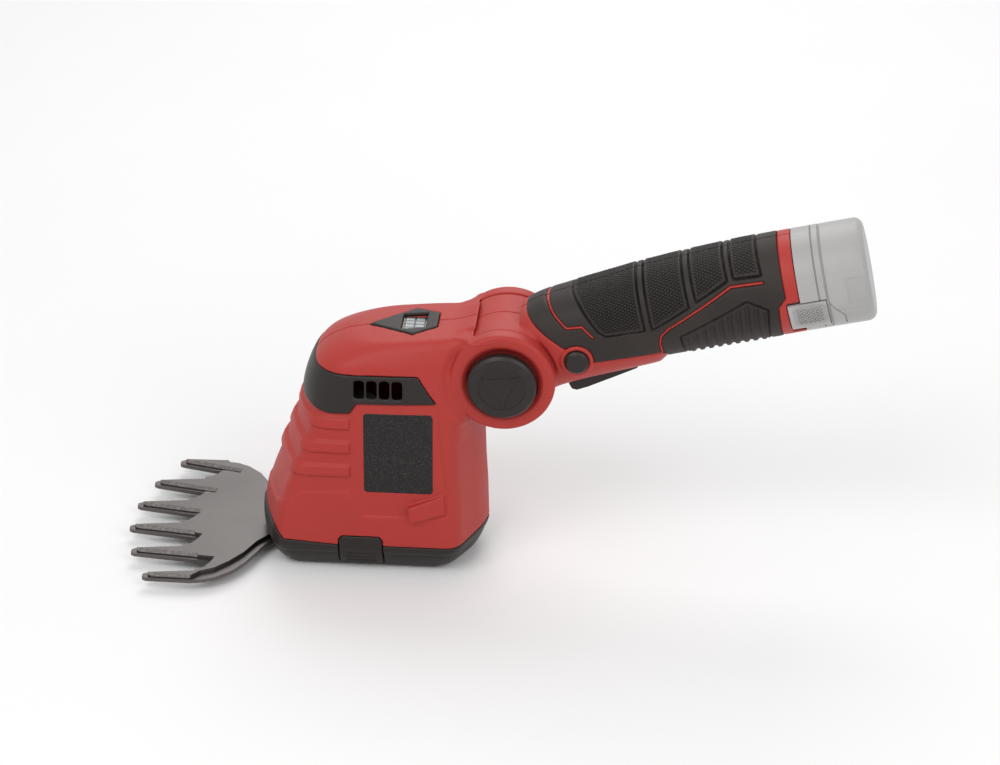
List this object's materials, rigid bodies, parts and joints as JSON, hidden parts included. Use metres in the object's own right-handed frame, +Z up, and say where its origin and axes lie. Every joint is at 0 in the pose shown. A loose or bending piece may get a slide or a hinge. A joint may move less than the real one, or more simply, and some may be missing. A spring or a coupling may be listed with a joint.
{
  "type": "cordless grass shears",
  "caption": "Cordless grass shears with a toothed reciprocating blade under an upright head, a tilting handle with trigger and a plug-in stick battery.",
  "frame": {"origin": "middle of the base cover's flat underside, where the tool stands on the ground", "axes": "+X from the blades towards the handle, +Y to the tool's right-hand side seen from the handle, +Z up"},
  "size_m": [0.3411, 0.1082, 0.1714],
  "materials": {
    "red_plastic": "fine moulded texture",
    "black_plastic": "fine moulded texture",
    "soft_grip": "soft and knurled",
    "grey_plastic": "fine moulded texture",
    "blade_steel": "brushed with ground edges",
    "steel": "machined",
    "plate_metal": "die cast",
    "cell": "shrink sleeve",
    "brass": "plain",
    "board": "lacquered"
  },
  "bodies": {
    "head": {"head_shell_left": "red_plastic", "head_shell_right": "red_plastic", "vent_band": "black_plastic", "window_bezel": "black_plastic", "charge_display": "grey_plastic", "gearbox_plate": "plate_metal", "motor_can": "steel", "motor_end_cap": "black_plastic", "gear_axle": "steel", "head_screws": "steel", "motor_screws": "steel", "pivot_tube": "steel"},
    "rotor": {"motor_shaft": "steel", "drive_pinion": "steel"},
    "gear": {"drive_gear": "steel"},
    "cover": {"base_cover": "black_plastic", "comb_blade": "blade_steel", "cutter_pivot": "steel", "comb_screws": "steel"},
    "cutter": {"cutter_blade": "blade_steel"},
    "latch_left": {"base_latch_left": "black_plastic"},
    "latch_right": {"base_latch_right": "black_plastic"},
    "button_left": {"pivot_button_left": "black_plastic"},
    "button_right": {"pivot_button_right": "black_plastic"},
    "handle": {"handle_shell_left": "red_plastic", "handle_shell_right": "red_plastic", "grip_left": "soft_grip", "grip_right": "soft_grip", "handle_screws": "steel", "pivot_bushes": "brass", "trigger_pin": "steel", "switch_body": "black_plastic", "terminal_block": "black_plastic", "terminal_fingers": "brass"},
    "trigger": {"trigger": "black_plastic"},
    "plunger": {"switch_plunger": "grey_plastic"},
    "lock_off": {"lock_off_bolt": "black_plastic"},
    "battery": {"battery_case": "grey_plastic", "battery_cap": "grey_plastic", "battery_cells": "cell", "battery_board": "board", "battery_contacts": "brass"},
    "tab_left": {"battery_tab_left": "grey_plastic"},
    "tab_right": {"battery_tab_right": "grey_plastic"}
  },
  "joints": [
    {"name": "gear_spin", "type": "hinge", "parent": "head", "child": "gear", "pos_m": [0.0102, 0, 0.013], "axis": [0, 0, 1], "range_deg": [-90, 90]},
    {"name": "motor_spin", "type": "hinge", "parent": "head", "child": "rotor", "pos_m": [-0.015, 0, 0.013], "axis": [0, 0, 1], "range_deg": [-450, 450]},
    {"name": "cover_drop", "type": "slide", "parent": "head", "child": "cover", "axis": [0, 0, -1], "range_m": [0, 0.02]},
    {"name": "cutter_swing", "type": "hinge", "parent": "cover", "child": "cutter", "pos_m": [-0.04, 0, 0.0072], "axis": [0, 0, 1], "range_deg": [-6, 6]},
    {"name": "latch_left_press", "type": "slide", "parent": "cover", "child": "latch_left", "axis": [0, 1, 0], "range_m": [0, 0.0022], "stiffness_N_per_m": 2000, "springref_m": -0.0005},
    {"name": "latch_right_press", "type": "slide", "parent": "cover", "child": "latch_right", "axis": [0, -1, 0], "range_m": [0, 0.0022], "stiffness_N_per_m": 2000, "springref_m": -0.0005},
    {"name": "button_left_press", "type": "slide", "parent": "head", "child": "button_left", "axis": [0, 1, 0], "range_m": [0, 0.004], "stiffness_N_per_m": 1500, "springref_m": -0.001},
    {"name": "button_right_press", "type": "slide", "parent": "head", "child": "button_right", "axis": [0, -1, 0], "range_m": [0, 0.004], "stiffness_N_per_m": 1500, "springref_m": -0.001},
    {"name": "handle_tilt", "type": "hinge", "parent": "head", "child": "handle", "pos_m": [0.0605, 0, 0.0982], "axis": [0, -1, 0], "range_deg": [-15, 45]},
    {"name": "trigger_pull", "type": "hinge", "parent": "handle", "child": "trigger", "pos_m": [0.11739, 0, 0.10518], "axis": [0, 1, 0], "range_deg": [0, 8], "stiffness_Nm_per_rad": 0.5, "springref_deg": -5.73},
    {"name": "plunger_press", "type": "slide", "parent": "handle", "child": "plunger", "axis": [-0.225, 0, 0.9744], "range_m": [0, 0.0016]},
    {"name": "lock_off_push", "type": "slide", "parent": "handle", "child": "lock_off", "axis": [0, 1, 0], "range_m": [0, 0.003], "stiffness_N_per_m": 800, "springref_m": -0.001},
    {"name": "battery_slide", "type": "slide", "parent": "handle", "child": "battery", "axis": [0.9744, 0, 0.225], "range_m": [0, 0.045]},
    {"name": "tab_left_press", "type": "slide", "parent": "battery", "child": "tab_left", "axis": [0, 1, 0], "range_m": [0, 0.0007], "stiffness_N_per_m": 2000, "springref_m": -0.0005},
    {"name": "tab_right_press", "type": "slide", "parent": "battery", "child": "tab_right", "axis": [0, -1, 0], "range_m": [0, 0.0007], "stiffness_N_per_m": 2000, "springref_m": -0.0005}
  ],
  "couplings": [
    {"joint": "motor_spin", "follows": "gear_spin", "ratio": -5},
    {"joint": "cutter_swing", "follows": "gear_spin", "ratio": 0.066667},
    {"joint": "plunger_press", "follows": "trigger_pull", "m_per_rad": 0.011}
  ]
}
